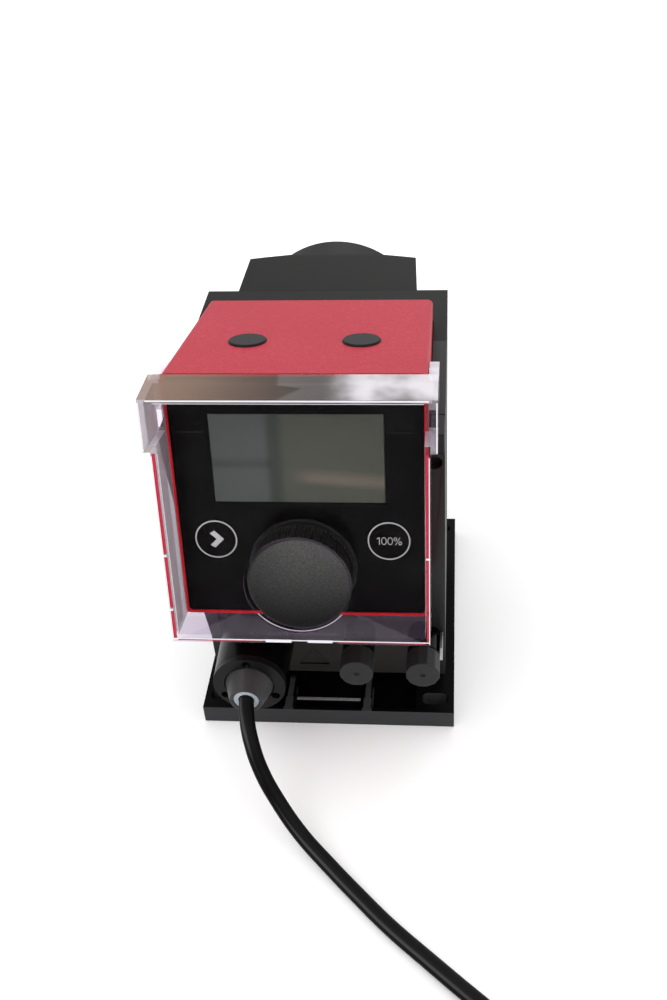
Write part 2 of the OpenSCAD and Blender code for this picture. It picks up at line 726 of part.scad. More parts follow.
module knob() {
  r = knob_d / 2;
  color([0.05, 0.05, 0.055]) at_panel() translate([0, 0, -knob_down]) rotate([90, 0, 0]) difference() {
    rotate_extrude() polygon([
      [0, 2.6], [8, 2.6], [8, 8], [r - 3, 8], [r - 3, 2.4], [r, 2.4], [r, knob_h - 1],
      [r - 0.9, knob_h], [0, knob_h]]);
    translate([0, 0, 2]) cylinder(r = 3 + running, h = knob_h - 4.7);
  }
}

module board_parts(list) {
  for (b = list) translate([b[0], 0, b[1]]) span([0, 0, 0], [b[2], b[3], b[4]]);
}

module main_board() {
  color([0.1, 0.35, 0.2]) at_panel() translate([0, board_y, 0]) {
    span([-cube_w / 2 + 6, 0, -cube_h + 8], [cube_w / 2 - 6, 1.6, -16]);
    // switches behind the keys
    for (s = [-1, 1]) span([s * key_x - 3, -2.4, -key_down - 3], [s * key_x + 3, eps, -key_down + 3]);
    translate([0, 1.5, 0]) board_parts([
      [-30, -52, 14, 2, 14], [6, -44, 10, 3, 10], [20, -80, 16, 6, 9], [-36, -84, 20, 5, 8], [-6, -70, 8, 2, 8]]);
  }
}

// Power supply with its transformer and capacitors, on the floor of the housing
module power_board() {
  color([0.12, 0.38, 0.22]) translate([0, face_y + 8, under_z + 3]) {
    span([-40, 0, 0], [40, 74, 1.6]);
    span([-34, 24, 1.5], [-2, 56, 24]);
    for (x = [10, 24]) translate([x, 40, 1.5]) cylinder(r = 6, h = 18);
    span([-20, 62, 1.5], [20, 72, 9]);
    for (x = [-44, 40]) span([x, 10, -3], [x + 4, 14, 1.6]);
  }
}

module top_plugs() {
  color([0.06, 0.06, 0.065]) at_panel() for (s = [-1, 1]) translate([s * plug_x, plug_back, 0]) {
    translate([0, 0, 0.02]) cylinder(d1 = plug_d, d2 = plug_d - 1.2, h = 0.9);
    translate([0, 0, -cube_wall - 2]) cylinder(d = plug_d - 1.3, h = cube_wall + 2.2);
  }
}

module cube_screws() {
  color([0.6, 0.6, 0.62]) at_panel() for (s = [-1, 1]) translate([s * plug_x, plug_back, 0]) {
    translate([0, 0, -15.8]) cylinder(r = 3.6, h = 3.4);
    translate([0, 0, -cube_h + cube_wall + 0.5]) cylinder(r = 2, h = cube_h - cube_wall - 15);
  }
}

// ------------------------------------------------------------------ clear cover
cover_half = cube_w / 2 + lip;
ear_half = cube_w / 2 + ear_out;
cover_bottom = cube_h + lip;
// Side outline of the cover in front of the panel: y is minus the distance in front of it
module cover_side(inset) {
  back = inset > 0 ? 1 : -cover_gap;
  polygon([
    [back, -inset], [-cover_d + inset, -2.9 - inset],
    [-cover_d + inset, -cover_bottom + inset], [back, -cover_bottom + inset]]);
}

module cover_block(half, inset) {
  translate([-half, 0, 0]) rotate([90, 0, 90]) linear_extrude(2 * half) cover_side(inset);
}

module clear_cover() {
  color([0.85, 0.82, 0.87, 0.35]) at_panel() difference() {
    union() {
      cover_block(cover_half, 0);
      intersection() {
        cover_block(ear_half, 0);
        span([-200, -60, -ear_down], [200, 60, 60]);
      }
      for (s = [-1, 1]) translate([s * (cube_w / 2 + ear_gap / 2 + ear_out / 2), 0, 0]) {
        t = ear_out - ear_gap;
        translate([0, pin_back, -ear_mid]) along_x(ear_r, t);
        span([-t / 2, -cover_gap - 3, -ear_mid - ear_r], [t / 2, pin_back, -ear_mid + ear_r]);
        span([-t / 2, -cover_gap - 3, -ear_down], [t / 2, 5, -ear_mid]);
      }
    }
    cover_block(cover_half - cover_wall, cover_wall);
    intersection() {
      cover_block(ear_half - cover_wall, cover_wall);
      span([-200, -60, -ear_down + cover_wall], [200, -cover_gap - 2, 60]);
    }
    span([-cube_w / 2 - ear_gap, -cover_gap - eps, -200], [cube_w / 2 + ear_gap, 60, 60]);
    translate([0, -cover_d - 5, -knob_down + 2]) along_y(hole_r, 12);
    translate([0, pin_back, -pin_down]) along_x(pin_r + running, 2 * ear_half + 4);
    // finger notch in the lower edge
    span([-14, -cover_d - 1, -cover_bottom - 1], [14, -cover_d + 6, -cover_bottom + 1.1]);
  }
}

module cover_pins() {
  color([0.75, 0.76, 0.78]) at_panel() for (s = [-1, 1])
    translate([s * (cube_w / 2 - cube_wall - 1 + (cube_wall + 1 + ear_out) / 2), pin_back, -pin_down])
      along_x(pin_r, cube_wall + 1 + ear_out - 0.6);
}

// ------------------------------------------------------------------ mains gland
module at_gland(y) {
  translate([gland_x, y, socket_z]) children();
}

module gland_boss() {
  r = gland_d / 2;
  color([0.09, 0.09, 0.095]) at_gland(gland_end + ring_t) difference() {
    rotate([-90, 0, 0]) cylinder(r1 = r, r2 = r + 0.8, h = gland_l - ring_t - 0.05);
    translate([0, -1, 0]) along_y(9, gland_l + 2);
    for (a = [30, 150, 270]) rotate([0, a, 0]) translate([13.2, -1, 0]) along_y(1.25, 14);
  }
}

module gland_ring() {
  color([0.22, 0.22, 0.23]) at_gland(gland_end) difference() {
    along_y(gland_d / 2, ring_t - 0.05);
    translate([0, -1, 0]) along_y(cone_r + 0.5, ring_t + 2);
    for (a = [30, 150, 270]) rotate([0, a, 0]) translate([13.2, -1, 0]) along_y(2, ring_t + 2);
  }
}

module gland_cone() {
  color([0.25, 0.25, 0.26]) at_gland(gland_end - cone_l) difference() {
    union() {
      rotate([-90, 0, 0]) cylinder(r1 = tip_r, r2 = cone_r, h = cone_l);
      translate([0, cone_l - eps, 0]) along_y(cone_r, ring_t - 0.1);
      translate([0, cone_l + ring_t - 0.2, 0]) along_y(8.8, 16);
    }
    translate([0, -1, 0]) along_y(5.9, cone_l + 30);
  }
}

module gland_seal() {
  color([0.68, 0.73, 0.78]) at_gland(gland_end - cone_l + 0.4) ring_y(5.8, cord_d / 2 + 0.05, 22);
}

module gland_screws() {
  color([0.12, 0.12, 0.12]) at_gland(gland_end) for (a = [30, 150, 270]) rotate([0, a, 0])
    translate([13.2, 1.6, 0]) along_y(1.2, 13);
}

// ------------------------------------------------------------------ signal sockets and caps
module signal_sockets() {
  tip = cap_end + 3.2;
  color([0.15, 0.15, 0.155]) for (x = cap_x) translate([x, 0, socket_z]) {
    translate([0, cap_end + cap_l + 0.6, 0]) along_y(cap_d / 2 - 0.4, face_y - cap_end - cap_l - 0.65);
    translate([0, tip + 2, 0]) ring_y(thread_r - 0.15, thread_r - 1.6, cap_l);
    translate([0, face_y - 0.1, 0]) along_y(stub_r, wall);
  }
}

module cap(x) {
  color([0.24, 0.24, 0.245]) translate([x, cap_end, socket_z]) difference() {
    rotate([-90, 15, 0]) cylinder(d = cap_d, h = cap_l, $fn = 12);
    translate([0, 3, 0]) along_y(thread_r, cap_l);
    rotate([-90, 0, 0]) translate([0, 0, -1]) cylinder(r = 1.1, h = 1.8);
  }
}
module cap_left() { cap(cap_x[0]); }
module cap_right() { cap(cap_x[1]); }

module cap_seal(x) {
  color([0.1, 0.1, 0.1]) translate([x, cap_end + 3.1, socket_z]) ring_y(thread_r - 0.1, thread_r - 1.8, 1.4);
}
module cap_seal_left() { cap_seal(cap_x[0]); }
module cap_seal_right() { cap_seal(cap_x[1]); }

// Tether clip on the right-hand socket
module cap_strap() {
  x = cap_x[1] + cap_d / 2;
  color([0.5, 0.5, 0.51])
    span([x - 0.4, cap_end + cap_l + 2, socket_z - 4], [x + 1, face_y - 3.4, socket_z + 4]);
}

// ------------------------------------------------------------------ mains lead
module coil_space() {
  translate([coil_c[0], coil_c[1], -1]) cylinder(r = coil_out + 0.15, h = coil_h + 20, $fn = 96);
}

// Each end of the lead stops at the coil's outside
module mains_lead() {
  color([0.05, 0.05, 0.05]) difference() {
    sweep(lead_points, cord_d, 2);
    coil_space();
  }
}

module mains_coil() {
  color([0.05, 0.05, 0.05]) translate([coil_c[0], coil_c[1], 0]) rotate_extrude($fn = 96)
    translate([(coil_in + coil_out) / 2, coil_h / 2]) rounded_rect(coil_out - coil_in, coil_h, cord_d / 2);
}

module mains_tail() {
  color([0.05, 0.05, 0.05]) difference() {
    sweep(tail_points, cord_d, 2);
    coil_space();
    translate(plug_axis) rotate([0, 0, 6]) span([-20, -9, -9], [0.02, 9, 9]);
  }
}

module coil_tie() {
  r = (coil_in + coil_out) / 2;
  color([0.04, 0.04, 0.045]) translate([coil_c[0], coil_c[1] + r, coil_h / 2]) difference() {
    span([-4, -(coil_out - coil_in) / 2 - 1.4, -coil_h / 2], [4, (coil_out - coil_in) / 2 + 1.4, coil_h / 2 + 1.2]);
    span([-5, -(coil_out - coil_in) / 2 - 0.4, -coil_h], [5, (coil_out - coil_in) / 2 + 0.4, coil_h / 2 + 0.2]);
  }
}

// Two-pin earthed plug lying on its side
module mains_plug() {
  color([0.06, 0.06, 0.06]) translate(plug_axis) rotate([0, 0, 6]) {
    rotate([0, -90, 0]) {
      cylinder(r1 = 5, r2 = 8, h = 14);
      translate([0, 0, 14 - eps]) cylinder(r1 = 10, r2 = 13.9, h = 12);
      translate([0, 0, 26 - eps]) cylinder(r = 13.9, h = 12);
      for (s = [-1, 1]) translate([0, s * 9.5, 37]) cylinder(r = 2.4, h = 20);
    }
  }
}

// ------------------------------------------------------------------ output
mounting_plate();
latch_bar();
base_cover();
front_housing();
rear_housing();
cheek_left();
cheek_right();
cube_clips();
housing_screws();
drive_cover();
motor();
gear_plate();
shaft_bearings();
motor_pinion();
drive_gear();
drive_shaft();
head_casing();
head_cover();
cover_thumbscrew();
head_hinge_pin();
rotor();
roller_pins();
roller_1();
roller_2();
roller_3();
pump_tube();
hose_connectors();
cube_shell();
cube_back();
front_panel();
display_module();
key_left();
key_right();
knob_seat();
encoder();
encoder_shaft();
knob();
main_board();
power_board();
top_plugs();
cube_screws();
clear_cover();
cover_pins();
gland_boss();
gland_ring();
gland_cone();
gland_seal();
gland_screws();
signal_sockets();
cap_left();
cap_right();
cap_seal_left();
cap_seal_right();
cap_strap();
mains_lead();
mains_coil();
mains_tail();
coil_tie();
mains_plug();
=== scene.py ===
"""Looks of a small dosing pump: tilted red control cube, clear cover, black housing, roller pump head."""

import json
import math

import bmesh
import bpy
from mathutils import Matrix, Vector


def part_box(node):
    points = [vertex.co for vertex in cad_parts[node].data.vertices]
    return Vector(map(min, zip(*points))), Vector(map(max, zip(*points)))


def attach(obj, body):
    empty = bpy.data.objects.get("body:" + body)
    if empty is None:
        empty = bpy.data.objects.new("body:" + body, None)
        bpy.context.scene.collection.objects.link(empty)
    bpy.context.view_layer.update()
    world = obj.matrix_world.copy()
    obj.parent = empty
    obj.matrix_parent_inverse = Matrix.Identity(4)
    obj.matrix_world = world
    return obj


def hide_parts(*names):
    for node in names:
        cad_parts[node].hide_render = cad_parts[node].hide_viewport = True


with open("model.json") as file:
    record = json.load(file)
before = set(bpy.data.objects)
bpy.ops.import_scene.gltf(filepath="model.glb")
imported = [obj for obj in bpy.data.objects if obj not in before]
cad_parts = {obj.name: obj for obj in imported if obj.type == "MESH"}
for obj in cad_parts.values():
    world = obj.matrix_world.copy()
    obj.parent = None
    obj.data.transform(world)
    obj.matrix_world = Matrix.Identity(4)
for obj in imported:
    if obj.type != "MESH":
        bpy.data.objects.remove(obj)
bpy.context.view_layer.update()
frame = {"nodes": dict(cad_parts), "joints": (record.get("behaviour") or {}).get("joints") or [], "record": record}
MM = 0.001
scene = bpy.context.scene
scene.view_settings.view_transform = "Standard"


# ---------------------------------------------------------------- places taken from the frame
def joint(name):
    return next(j for j in frame["joints"] if j["name"] == name)


class Panel:
    """The control cube's own frame: x to the right, out towards the user, down from the panel's top edge."""

    into = Vector(joint("knob_turn")["axis"])
    right = Vector((1, 0, 0))
    up = into.cross(right) * -1
    low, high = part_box("cube_shell")
    tilt = math.atan2(-into.z, into.y)
    rise, run = high.z - low.z, high.y - low.y
    height = (rise * math.cos(tilt) - run * math.sin(tilt)) / math.cos(2 * tilt)
    half = (high.x - low.x) / 2
    origin = Vector((0, low.y + height * math.sin(tilt), high.z))
    matrix = Matrix((right, into, up)).transposed().to_4x4()
    matrix.translation = origin


def on_panel(x, out, down):
    """A point given in millimetres in the panel's frame, in metres in the row frame."""
    return Panel.matrix @ Vector((x * MM, -out * MM, -down * MM))


# ---------------------------------------------------------------- camera
def make_camera():
    """Stands in front, a little to the right, and looks down on the pump with a slight roll."""
    data = bpy.data.cameras.new("camera")
    camera = bpy.data.objects.new("camera", data)
    scene.collection.objects.link(camera)
    pitch, yaw, roll = (math.radians(a) for a in (38.34, 5.69, 3.08))
    right = Vector((math.cos(yaw), math.sin(yaw), 0))
    ahead = Vector((-math.sin(yaw), math.cos(yaw), 0))
    look = ahead * math.cos(pitch) - Vector((0, 0, math.sin(pitch)))
    down = look.cross(right)
    across = right * math.cos(roll) + down * math.sin(roll)
    below = down * math.cos(roll) - right * math.sin(roll)
    camera.matrix_world = Matrix((across, -below, -look)).transposed().to_4x4()
    camera.matrix_world.translation = Vector((59.0, -414.15, 419.65)) * MM
    data.sensor_fit = "VERTICAL"
    data.sensor_height = 24
    data.lens = 26.49096
    data.shift_x, data.shift_y = -0.0336, -0.0147
    data.clip_start, data.clip_end = 0.01, 20
    scene.camera = camera


make_camera()


# ---------------------------------------------------------------- finishes
class Value:
    """An output of a node. Arithmetic on it adds Math nodes."""

    def __init__(self, finish, socket):
        self.finish, self.socket = finish, socket

    def _math(self, operation, *terms):
        return self.finish.node("ShaderNodeMath", {"operation": operation}, dict(enumerate(terms)))

    def __add__(self, other):
        return self._math("ADD", self, other)

    __radd__ = __add__

    def __sub__(self, other):
        return self._math("SUBTRACT", self, other)

    def __rsub__(self, other):
        return self._math("SUBTRACT", other, self)

    def __mul__(self, other):
        return self._math("MULTIPLY", self, other)

    __rmul__ = __mul__

    def __pow__(self, other):
        return self._math("POWER", self, other)

    def between(self, low, high):
        """0 below low, 1 above high, smooth between."""
        return self.finish.node(
            "ShaderNodeMapRange",
            {"interpolation_type": "SMOOTHSTEP"},
            {"Value": self, "From Min": low, "From Max": high},
        )


class Finish:
    """A material: one Principled shader whose constants are set directly, with nodes behind a few sockets."""

    def __init__(self, name, color, roughness, **constants):
        self.name = name
        self.material = bpy.data.materials.new(name)
        self.material.use_nodes = True
        self.tree = self.material.node_tree
        self.shader = self.tree.nodes["Principled BSDF"]
        self.output = self.tree.nodes["Material Output"]
        self.set(Base_Color=(*color, 1), Roughness=roughness, **constants)

    def set(self, **constants):
        for key, value in constants.items():
            self.shader.inputs[key.replace("_", " ")].default_value = value

    def node(self, kind, settings=None, inputs=None, output=0):
        node = self.tree.nodes.new(kind)
        for key, value in (settings or {}).items():
            setattr(node, key, value)
        for key, value in (inputs or {}).items():
            if isinstance(value, Value):
                self.tree.links.new(value.socket, node.inputs[key])
            else:
                node.inputs[key].default_value = value
        return Value(self, node.outputs[output])

    def feed(self, **links):
        """Links values to the shader's sockets."""
        for key, value in links.items():
            self.tree.links.new(value.socket, self.shader.inputs[key.replace("_", " ")])
        return self

    @property
    def place(self):
        return self.node("ShaderNodeTexCoord", output="Object")

    def facing(self, axis, low, high):
        """How far the surface faces along a world axis: 0 at low, 1 at high."""
        normal = self.node("ShaderNodeNewGeometry", output="Normal")
        return self.node("ShaderNodeSeparateXYZ", inputs={0: normal}, output=axis).between(low, high)

    def along(self, axis):
        """The place along an axis, in metres."""
        return self.node("ShaderNodeSeparateXYZ", inputs={0: self.place}, output=axis)

    def aside(self):
        """The distance from the middle plane, in metres."""
        return self.node("ShaderNodeMath", {"operation": "ABSOLUTE"}, {0: self.along("X")})

    def noise(self, size_mm, detail=2, place=None, roughness=0.5):
        scale = 1 / MM / size_mm
        inputs = {"Vector": place or self.place, "Scale": scale, "Detail": detail, "Roughness": roughness}
        return self.node("ShaderNodeTexNoise", inputs=inputs)

    def cells(self, size_mm):
        return self.node("ShaderNodeTexVoronoi", inputs={"Vector": self.place, "Scale": 1 / MM / size_mm})

    def mix(self, factor, one, other):
        inputs = {0: factor, 6: self.rgb(one), 7: self.rgb(other)}
        return self.node("ShaderNodeMix", {"data_type": "RGBA"}, inputs, output=2)

    @staticmethod
    def rgb(color):
        return color if isinstance(color, Value) else (*color, 1)

    def bump(self, height, depth_mm, strength=1.0):
        return self.node(
            "ShaderNodeBump", inputs={"Height": height, "Distance": depth_mm * MM, "Strength": strength}
        )


def shade(color, times):
    """A colour made lighter or darker."""
    return tuple(min(1.0, c * times) for c in color)


def moulded(name, color, roughness=0.5, grain_mm=0.35, depth_mm=0.02, lift=1.5, front=1.0, **constants):
    """Moulded plastic with a spark-eroded grain: fine speckle, slow colour drift, faint handling marks.

    front paints light onto upright faces: painted light for what they pick up from a pale table, more than level
    ones."""
    f = Finish(name, color, roughness, **{"Specular_IOR_Level": 0.2, **constants})
    grain = f.noise(grain_mm, 3, roughness=0.7)
    drift = f.noise(28, 3)
    marks = f.noise(6, 6, roughness=0.75).between(0.62, 0.8)
    base = f.mix(grain.between(0.35, 0.72), shade(color, 0.8), shade(color, lift))
    base = f.mix(drift.between(0.35, 0.7) * 0.35, base, shade(color, 1.5))
    if front != 1.0:
        # painted light: faces turned to the front get a lighter copy of the colour
        upright = 1 - f.facing("Y", -0.9, -0.35)
        base = f.mix(upright, base, f.mix(grain, shade(color, front * 0.85), shade(color, front * 1.2)))
    f.feed(
        Base_Color=f.mix(marks * 0.18, base, shade(color, 2.2)),
        Roughness=roughness + (grain - 0.5) * 0.16 + marks * 0.08,
        Normal=f.bump(grain, depth_mm, 0.8),
    )
    return f


def glossy(name, color, roughness=0.12, dust=0.25, **constants):
    """Smooth plastic with sparse dust and the faintest waviness."""
    f = Finish(name, color, roughness, **constants)
    specks = (1 - f.cells(1.7).between(0.02, 0.075)) * f.noise(9, 2).between(0.5, 0.62)
    film = f.noise(16, 4).between(0.4, 0.75)
    f.feed(
        Base_Color=f.mix(specks * dust, f.mix(film * 0.3, color, shade(color, 1.6)), (0.5, 0.48, 0.46)),
        Roughness=roughness + specks * 0.4 + film * 0.05,
        Normal=f.bump(f.noise(7, 1), 0.01, 0.3),
    )
    return f


def metal(name, color, roughness=0.3, squeeze=(1, 1, 30)):
    """Brushed metal: fine lines, squeezed together along one axis."""
    f = Finish(name, color, roughness, Metallic=1.0)
    stretched = f.node("ShaderNodeMapping", inputs={"Vector": f.place, "Scale": squeeze})
    lines = f.noise(2, 3, stretched)
    f.feed(
        Base_Color=f.mix(lines, shade(color, 0.82), shade(color, 1.1)),
        Roughness=roughness + (lines - 0.5) * 0.2,
        Normal=f.bump(lines, 0.006),
    )
    return f


def red_moulding():
    """Matt red moulding with a coarse grain and a pale mottle."""
    f = Finish("red_shell", (0.4, 0.022, 0.042), 0.6, Specular_IOR_Level=0.15)
    grain = f.noise(0.75, 3, roughness=0.65)
    mottle = f.noise(2.6, 4, roughness=0.7)
    drift = f.noise(40, 2)
    base = f.mix(grain.between(0.36, 0.7), (0.35, 0.016, 0.032), (0.47, 0.042, 0.066))
    base = f.mix(mottle.between(0.5, 0.78) * 0.4, base, (0.56, 0.085, 0.115))
    f.feed(
        Base_Color=f.mix(drift.between(0.35, 0.7) * 0.25, base, (0.35, 0.015, 0.03)),
        Roughness=0.55 + (grain - 0.5) * 0.25,
        Normal=f.bump(grain + mottle * 0.6, 0.035, 0.8),
    )
    return f


def clear(name, tint, body, veil, edge, power=3.0, roughness=0.04, lit_from_above=False, streaks=False):
    """Clear plastic: see-through face on, more of its own colour and shine towards grazing."""
    f = Finish(name, body, roughness, Specular_IOR_Level=0.35)
    facing = f.node("ShaderNodeLayerWeight", inputs={"Blend": 0.5}, output="Facing")
    haze = f.noise(11, 4).between(0.45, 0.8)
    specks = (1 - f.cells(2.3).between(0.015, 0.05)) * f.noise(12, 2).between(0.5, 0.6)
    through = f.node("ShaderNodeBsdfTransparent", inputs={"Color": (*tint, 1)})
    shine = Value(f, f.shader.outputs[0])
    amount = veil + (edge - veil) * facing**power
    if lit_from_above:
        height = f.along("Z")
        above_foot = height.between(0.114, 0.118) * (1 - height.between(0.153, 0.154))
        hole_wall = (1 - f.aside().between(0.0225, 0.023)) * above_foot
        amount = amount * (0.1 + 0.9 * f.facing("Z", 0.25, 0.6)) * (1 - hole_wall * 0.95)
    if streaks:
        swirl = f.noise(30, 3)
        x = f.along("X") + (swirl - 0.5) * 0.02
        warm = f.mix(x.between(-0.05, 0.012), (0.24, 0.15, 0.105), (0.03, 0.018, 0.014))
        pale = x.between(0.012, 0.03) * swirl.between(0.36, 0.6)
        f.feed(Base_Color=f.mix(pale, warm, (0.72, 0.7, 0.74)))
    amount = amount + haze * 0.004 + specks * 0.3
    joined = f.node("ShaderNodeMixShader", inputs={0: amount, 1: through, 2: shine})
    f.tree.links.new(joined.socket, f.output.inputs["Surface"])
    f.material.surface_render_method = "BLENDED"
    return f


def display_face():
    """Grey-green liquid crystal with painted reflections: a bluish painted reflection on its left, a painted shade
    beside that, a warm painted sheen low on its right.
    """
    f = Finish("display", (0.085, 0.09, 0.075), 0.3, Specular_IOR_Level=0.08)
    x, z = f.along("X"), f.along("Z")
    cloud = f.noise(34, 2)
    # painted reflection and shade: a bluish band on the left, a darker band and bar beside it, a warm sheen low on
    # the right
    painted_reflection = 1 - x.between(-0.0125, -0.0085)
    shaded = x.between(-0.0135, -0.0095) * (1 - x.between(-0.0085, -0.0035))
    bar = painted_reflection * z.between(0.1635, 0.1665) * (1 - z.between(0.1668, 0.1705))
    lean = z + x * 0.07
    sheen = lean.between(0.1575, 0.1612) * (1 - lean.between(0.1612, 0.1665)) * x.between(-0.006, 0.008)
    pixels = f.node("ShaderNodeTexChecker", inputs={"Vector": f.place, "Scale": 2600.0}, output="Fac")
    base = f.mix(painted_reflection, (0.072, 0.076, 0.062), (0.078, 0.086, 0.084))
    base = f.mix(cloud.between(0.35, 0.7) * 0.35, base, (0.066, 0.072, 0.062))
    base = f.mix(shaded * 0.75 + bar * 0.5, base, (0.036, 0.043, 0.038))
    base = f.mix(sheen * 0.7, base, (0.16, 0.135, 0.105))
    f.feed(Base_Color=f.mix(pixels * 0.06, base, (0.05, 0.055, 0.05)), Roughness=0.3 + cloud * 0.08)
    return f


def knob_grain():
    """Coarse grained face with painted light: lighter towards the top and a little towards the right, fading to
    black at its foot.
    """
    f = Finish("knob_face", (0.03, 0.029, 0.029), 0.62, Specular_IOR_Level=0.15)
    grain = f.noise(0.6, 3, roughness=0.7)
    # painted light: a gradient upwards and to the right between dark and light grain colours
    light = f.along("Z").between(0.106, 0.149) * (f.along("X").between(-0.024, 0.002) * 0.45 + 0.55)
    low = f.mix(light, (0.003, 0.0029, 0.0029), (0.05, 0.049, 0.048))
    high = f.mix(light, (0.006, 0.0058, 0.0058), (0.092, 0.09, 0.088))
    f.feed(
        Base_Color=f.mix(grain.between(0.35, 0.72), low, high),
        Roughness=0.62 + (grain - 0.5) * 0.16,
        Normal=f.bump(grain, 0.07, 0.8),
    )
    return f


def cable_sheath():
    """Soft black sheath with painted light: a narrow painted highlight along its left shoulder, a duller painted
    crown and flanks painted black.
    """
    f = Finish("cord", (0.012, 0.012, 0.0122), 0.4, Specular_IOR_Level=0.03)
    scuff = f.noise(3.0, 5, roughness=0.8).between(0.55, 0.8)
    skin = f.noise(0.6, 2)
    # painted light: upward faces painted lighter, a band on the left shoulder painted as a highlight
    band = f.facing("Z", 0.44, 0.72) * (1 - f.facing("Z", 0.72, 0.93))
    shoulder = band * (1 - f.facing("X", -0.32, -0.05))
    base = f.mix(f.facing("Z", 0.5, 0.95), (0.003, 0.003, 0.0031), (0.009, 0.009, 0.0092))
    base = f.mix(shoulder * 0.9, base, (0.06, 0.06, 0.061))
    f.feed(
        Base_Color=f.mix(scuff * 0.2, base, (0.025, 0.025, 0.026)),
        Roughness=0.36 + scuff * 0.2,
        Normal=f.bump(skin, 0.012, 0.6),
    )
    return f


def overlaid(f, where, patch_mm, dull, bright):
    """Lays a patchy colour over a finish where the mask is 1."""
    before = Value(f, f.shader.inputs["Base Color"].links[0].from_socket)
    return f.feed(Base_Color=f.mix(where, before, f.mix(f.noise(patch_mm, 3), dull, bright)))


def plate_moulding():
    """Black plate: its upright faces are painted lighter (painted light), which leaves its level faces darker; its
    ribs' upward faces are lighter grey.
    """
    f = moulded("plate", (0.0018, 0.0018, 0.0019), 0.5, 0.5, front=22.0, Specular_IOR_Level=0.04)
    x = f.aside()
    rib = x.between(0.0162, 0.0168) * (1 - x.between(0.0208, 0.0214))
    rib = rib * (1 - f.along("Y").between(-0.053, -0.049))
    # the ribs' upward faces get a lighter grey laid over them
    return overlaid(f, rib * f.facing("Z", 0.3, 0.7), 0.8, (0.035, 0.035, 0.036), (0.07, 0.07, 0.07))


def latch_moulding():
    """Black spring tongue whose raised bar is worn bright."""
    f = moulded("latch", (0.0022, 0.0022, 0.0023), 0.5, 0.5, Specular_IOR_Level=0.05)
    return overlaid(f, f.along("Z").between(0.0092, 0.0096), 1.2, (0.13, 0.13, 0.13), (0.3, 0.3, 0.3))


INK = {"grain_mm": 0.6, "depth_mm": 0.002, "lift": 1.05}
FINISHES = [
    moulded("housing", (0.0078, 0.0072, 0.0069), 0.5, front=3.6, Specular_IOR_Level=0.11),
    moulded("housing_light", (0.0125, 0.0125, 0.013), 0.48),
    plate_moulding(),
    latch_moulding(),
    red_moulding(),
    glossy("panel", (0.0028, 0.0025, 0.0026), 0.1, Specular_IOR_Level=0.04),
    moulded("knob", (0.011, 0.0108, 0.0106), 0.42, 0.3),
    knob_grain(),
    moulded("print", (0.5, 0.5, 0.505), 0.5, **INK),
    moulded("scribe", (0.035, 0.035, 0.036), 0.5, **INK),
    moulded("rim", (0.55, 0.008, 0.013), 0.4, 0.6, 0.005, 1.1, Specular_IOR_Level=0.1),
    display_face(),
    metal("steel", (0.55, 0.56, 0.57), 0.28),
    moulded("motor", (0.02, 0.02, 0.021), 0.4, 0.8),
    metal("brass", (0.62, 0.45, 0.18), 0.3),
    metal("aluminium", (0.6, 0.61, 0.63), 0.38, (30, 1, 1)),
    moulded("white_plastic", (0.56, 0.54, 0.48), 0.45, 0.8, 0.008, 1.08, Subsurface_Weight=0.08),
    moulded("head", (0.0062, 0.0061, 0.0063), 0.46, 0.4, Specular_IOR_Level=0.12),
    moulded("tube", (0.56, 0.52, 0.4), 0.35, 1.2, 0.006, 1.1, Subsurface_Weight=0.15),
    moulded("board", (0.02, 0.11, 0.045), 0.35, 1.5, 0.01, 1.2),
    glossy("gland", (0.0012, 0.0012, 0.0013), 0.24, 0.05, Specular_IOR_Level=0.1),
    moulded("gland_ring", (0.0055, 0.0055, 0.0056), 0.36, 0.5, 0.006, 1.2, Specular_IOR_Level=0.12),
    moulded("gland_light", (0.036, 0.036, 0.037), 0.36, 0.5, 0.006, 1.2),
    moulded("seal", (0.4, 0.45, 0.49), 0.5, 0.5, 0.008, 1.15),
    moulded("black_seal", (0.008, 0.008, 0.008), 0.5, 0.4),
    moulded("cap", (0.017, 0.017, 0.0172), 0.5),
    metal("strap", (0.42, 0.42, 0.43), 0.3, (1, 30, 1)),
    cable_sheath(),
    moulded("plug", (0.008, 0.008, 0.009), 0.42, 0.5),
    # Painted light and shade: lit and shaded copies of the cover's one clear plastic, one for each kind of face,
    # with glint a painted highlight and the last a painted red reflection
    clear("clear", (0.985, 0.978, 0.985), (0.45, 0.42, 0.46), 0.001, 0.15, 5),
    clear("clear_side", (0.93, 0.9, 0.935), (0.4, 0.355, 0.385), 0.5, 0.8, 2),
    clear("clear_top", (0.9, 0.87, 0.88), (0.2, 0.15, 0.12), 0.62, 0.85, 2, streaks=True),
    clear("clear_low", (0.9, 0.86, 0.92), (0.3, 0.24, 0.33), 0.07, 0.4, 3),
    clear("glint", (1, 1, 1), (0.85, 0.83, 0.87), 0.8, 0.95, 1),
    clear("clear_edge", (0.9, 0.87, 0.93), (0.78, 0.74, 0.8), 0.35, 0.9, 1.5, 0.08, lit_from_above=True),
    clear("painted_red_reflection", (1, 0.5, 0.5), (0.6, 0.012, 0.05), 0.85, 1.0, 1),
]
FINISH = {finish.name: finish.material for finish in FINISHES}


# ---------------------------------------------------------------- making pieces
def piece(name, mesh, finish, body, replaces=(), smooth=True):
    """Links a mesh as an object that rides on a body and may stand for CAD nodes."""
    obj = bpy.data.objects.new(name, mesh)
    scene.collection.objects.link(obj)
    for f in [finish] if isinstance(finish, str) else finish:
        mesh.materials.append(FINISH[f])
    if smooth:
        mesh.shade_smooth()
    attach(obj, body)
    if replaces:
        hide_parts(*replaces)
    return obj


